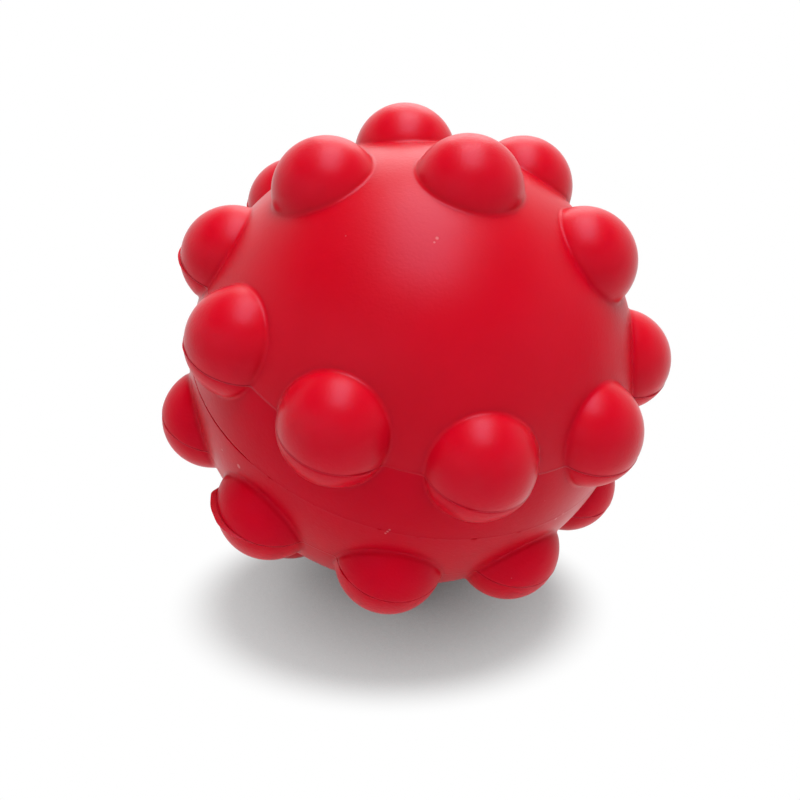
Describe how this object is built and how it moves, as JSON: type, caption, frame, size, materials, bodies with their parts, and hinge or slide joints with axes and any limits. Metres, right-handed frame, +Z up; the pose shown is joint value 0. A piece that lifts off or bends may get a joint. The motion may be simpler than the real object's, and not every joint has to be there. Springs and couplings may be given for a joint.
{
  "type": "sensory ball",
  "caption": "Hollow red sensory ball of soft silicone rubber: two bonded half shells covered with round domes that press through to the inside and stay in until squeezed out.",
  "frame": {"origin": "on the surface the ball rests on, straight below the ball's centre, as it lies on three domes", "axes": "+Z up, +X to the right and +Y away as seen by the camera of the picture"},
  "size_m": [0.0702, 0.0706, 0.0687],
  "materials": {
    "shell_silicone": "satin",
    "dome_silicone": "satin",
    "bond_silicone": "matte"
  },
  "bodies": {
    "ball": {"upper_shell": "shell_silicone", "lower_shell": "shell_silicone", "seam_bond": "bond_silicone"},
    "upper_pole_dome": {"upper_pole_dome": "dome_silicone"},
    "upper_inner_dome_1": {"upper_inner_dome_1": "dome_silicone"},
    "upper_inner_dome_2": {"upper_inner_dome_2": "dome_silicone"},
    "upper_inner_dome_3": {"upper_inner_dome_3": "dome_silicone"},
    "upper_inner_dome_4": {"upper_inner_dome_4": "dome_silicone"},
    "upper_outer_dome_1": {"upper_outer_dome_1": "dome_silicone"},
    "upper_outer_dome_2": {"upper_outer_dome_2": "dome_silicone"},
    "upper_outer_dome_3": {"upper_outer_dome_3": "dome_silicone"},
    "upper_outer_dome_4": {"upper_outer_dome_4": "dome_silicone"},
    "upper_outer_dome_5": {"upper_outer_dome_5": "dome_silicone"},
    "upper_outer_dome_6": {"upper_outer_dome_6": "dome_silicone"},
    "upper_outer_dome_7": {"upper_outer_dome_7": "dome_silicone"},
    "upper_outer_dome_8": {"upper_outer_dome_8": "dome_silicone"},
    "upper_outer_dome_9": {"upper_outer_dome_9": "dome_silicone"},
    "upper_outer_dome_10": {"upper_outer_dome_10": "dome_silicone"},
    "lower_pole_dome": {"lower_pole_dome": "dome_silicone"},
    "lower_inner_dome_1": {"lower_inner_dome_1": "dome_silicone"},
    "lower_inner_dome_2": {"lower_inner_dome_2": "dome_silicone"},
    "lower_inner_dome_3": {"lower_inner_dome_3": "dome_silicone"},
    "lower_inner_dome_4": {"lower_inner_dome_4": "dome_silicone"},
    "lower_outer_dome_1": {"lower_outer_dome_1": "dome_silicone"},
    "lower_outer_dome_2": {"lower_outer_dome_2": "dome_silicone"},
    "lower_outer_dome_3": {"lower_outer_dome_3": "dome_silicone"},
    "lower_outer_dome_4": {"lower_outer_dome_4": "dome_silicone"},
    "lower_outer_dome_5": {"lower_outer_dome_5": "dome_silicone"},
    "lower_outer_dome_6": {"lower_outer_dome_6": "dome_silicone"},
    "lower_outer_dome_7": {"lower_outer_dome_7": "dome_silicone"},
    "lower_outer_dome_8": {"lower_outer_dome_8": "dome_silicone"},
    "lower_outer_dome_9": {"lower_outer_dome_9": "dome_silicone"},
    "lower_outer_dome_10": {"lower_outer_dome_10": "dome_silicone"}
  },
  "joints": [
    {"name": "upper_pole_dome_press", "type": "slide", "parent": "ball", "child": "upper_pole_dome", "axis": [-0.2342, 0.2556, -0.938], "range_m": [0, 0.0113]},
    {"name": "upper_inner_dome_1_press", "type": "slide", "parent": "ball", "child": "upper_inner_dome_1", "axis": [-0.7518, 0.2342, -0.6164], "range_m": [0, 0.0113]},
    {"name": "upper_inner_dome_2_press", "type": "slide", "parent": "ball", "child": "upper_inner_dome_2", "axis": [-0.5251, -0.2645, -0.8089], "range_m": [0, 0.0113]},
    {"name": "upper_inner_dome_3_press", "type": "slide", "parent": "ball", "child": "upper_inner_dome_3", "axis": [0.036, -0.2906, -0.9562], "range_m": [0, 0.0113]},
    {"name": "upper_inner_dome_4_press", "type": "slide", "parent": "ball", "child": "upper_inner_dome_4", "axis": [0.3704, 0.182, -0.9109], "range_m": [0, 0.0113]},
    {"name": "upper_outer_dome_1_press", "type": "slide", "parent": "ball", "child": "upper_outer_dome_1", "axis": [-0.265, 0.9636, -0.0359], "range_m": [0, 0.0113]},
    {"name": "upper_outer_dome_2_press", "type": "slide", "parent": "ball", "child": "upper_outer_dome_2", "axis": [-0.7556, 0.6551, 0.0026], "range_m": [0, 0.0113]},
    {"name": "upper_outer_dome_3_press", "type": "slide", "parent": "ball", "child": "upper_outer_dome_3", "axis": [-0.9881, 0.1297, -0.0825], "range_m": [0, 0.0113]},
    {"name": "upper_outer_dome_4_press", "type": "slide", "parent": "ball", "child": "upper_outer_dome_4", "axis": [-0.8738, -0.4118, -0.2586], "range_m": [0, 0.0113]},
    {"name": "upper_outer_dome_5_press", "type": "slide", "parent": "ball", "child": "upper_outer_dome_5", "axis": [-0.4564, -0.7626, -0.4585], "range_m": [0, 0.0113]},
    {"name": "upper_outer_dome_6_press", "type": "slide", "parent": "ball", "child": "upper_outer_dome_6", "axis": [0.1048, -0.7887, -0.6057], "range_m": [0, 0.0113]},
    {"name": "upper_outer_dome_7_press", "type": "slide", "parent": "ball", "child": "upper_outer_dome_7", "axis": [0.5954, -0.4802, -0.6442], "range_m": [0, 0.0113]},
    {"name": "upper_outer_dome_8_press", "type": "slide", "parent": "ball", "child": "upper_outer_dome_8", "axis": [0.8279, 0.0451, -0.5591], "range_m": [0, 0.0113]},
    {"name": "upper_outer_dome_9_press", "type": "slide", "parent": "ball", "child": "upper_outer_dome_9", "axis": [0.7136, 0.5866, -0.383], "range_m": [0, 0.0113]},
    {"name": "upper_outer_dome_10_press", "type": "slide", "parent": "ball", "child": "upper_outer_dome_10", "axis": [0.2961, 0.9374, -0.1831], "range_m": [0, 0.0113]},
    {"name": "lower_pole_dome_press", "type": "slide", "parent": "ball", "child": "lower_pole_dome", "axis": [0.2342, -0.2556, 0.938], "range_m": [0, 0.0113]},
    {"name": "lower_inner_dome_1_press", "type": "slide", "parent": "ball", "child": "lower_inner_dome_1", "axis": [-0.3421, -0.0565, 0.938], "range_m": [0, 0.0113]},
    {"name": "lower_inner_dome_2_press", "type": "slide", "parent": "ball", "child": "lower_inner_dome_2", "axis": [0.0861, 0.3358, 0.938], "range_m": [0, 0.0113]},
    {"name": "lower_inner_dome_3_press", "type": "slide", "parent": "ball", "child": "lower_inner_dome_3", "axis": [0.6188, 0.1842, 0.7636], "range_m": [0, 0.0113]},
    {"name": "lower_inner_dome_4_press", "type": "slide", "parent": "ball", "child": "lower_inner_dome_4", "axis": [0.7234, -0.3597, 0.5893], "range_m": [0, 0.0113]},
    {"name": "lower_outer_dome_1_press", "type": "slide", "parent": "ball", "child": "lower_outer_dome_1", "axis": [-0.4738, -0.8435, 0.2531], "range_m": [0, 0.0113]},
    {"name": "lower_outer_dome_2_press", "type": "slide", "parent": "ball", "child": "lower_outer_dome_2", "axis": [-0.795, -0.4031, 0.4533], "range_m": [0, 0.0113]},
    {"name": "lower_outer_dome_3_press", "type": "slide", "parent": "ball", "child": "lower_outer_dome_3", "axis": [-0.782, 0.1579, 0.6029], "range_m": [0, 0.0113]},
    {"name": "lower_outer_dome_4_press", "type": "slide", "parent": "ball", "child": "lower_outer_dome_4", "axis": [-0.4397, 0.6252, 0.6448], "range_m": [0, 0.0113]},
    {"name": "lower_outer_dome_5_press", "type": "slide", "parent": "ball", "child": "lower_outer_dome_5", "axis": [0.1012, 0.8203, 0.5629], "range_m": [0, 0.0113]},
    {"name": "lower_outer_dome_6_press", "type": "slide", "parent": "ball", "child": "lower_outer_dome_6", "axis": [0.634, 0.6687, 0.3885], "range_m": [0, 0.0113]},
    {"name": "lower_outer_dome_7_press", "type": "slide", "parent": "ball", "child": "lower_outer_dome_7", "axis": [0.9552, 0.2282, 0.1883], "range_m": [0, 0.0113]},
    {"name": "lower_outer_dome_8_press", "type": "slide", "parent": "ball", "child": "lower_outer_dome_8", "axis": [0.9422, -0.3328, 0.0387], "range_m": [0, 0.0113]},
    {"name": "lower_outer_dome_9_press", "type": "slide", "parent": "ball", "child": "lower_outer_dome_9", "axis": [0.5999, -0.8001, -0.0032], "range_m": [0, 0.0113]},
    {"name": "lower_outer_dome_10_press", "type": "slide", "parent": "ball", "child": "lower_outer_dome_10", "axis": [0.059, -0.9951, 0.0787], "range_m": [0, 0.0113]}
  ]
}
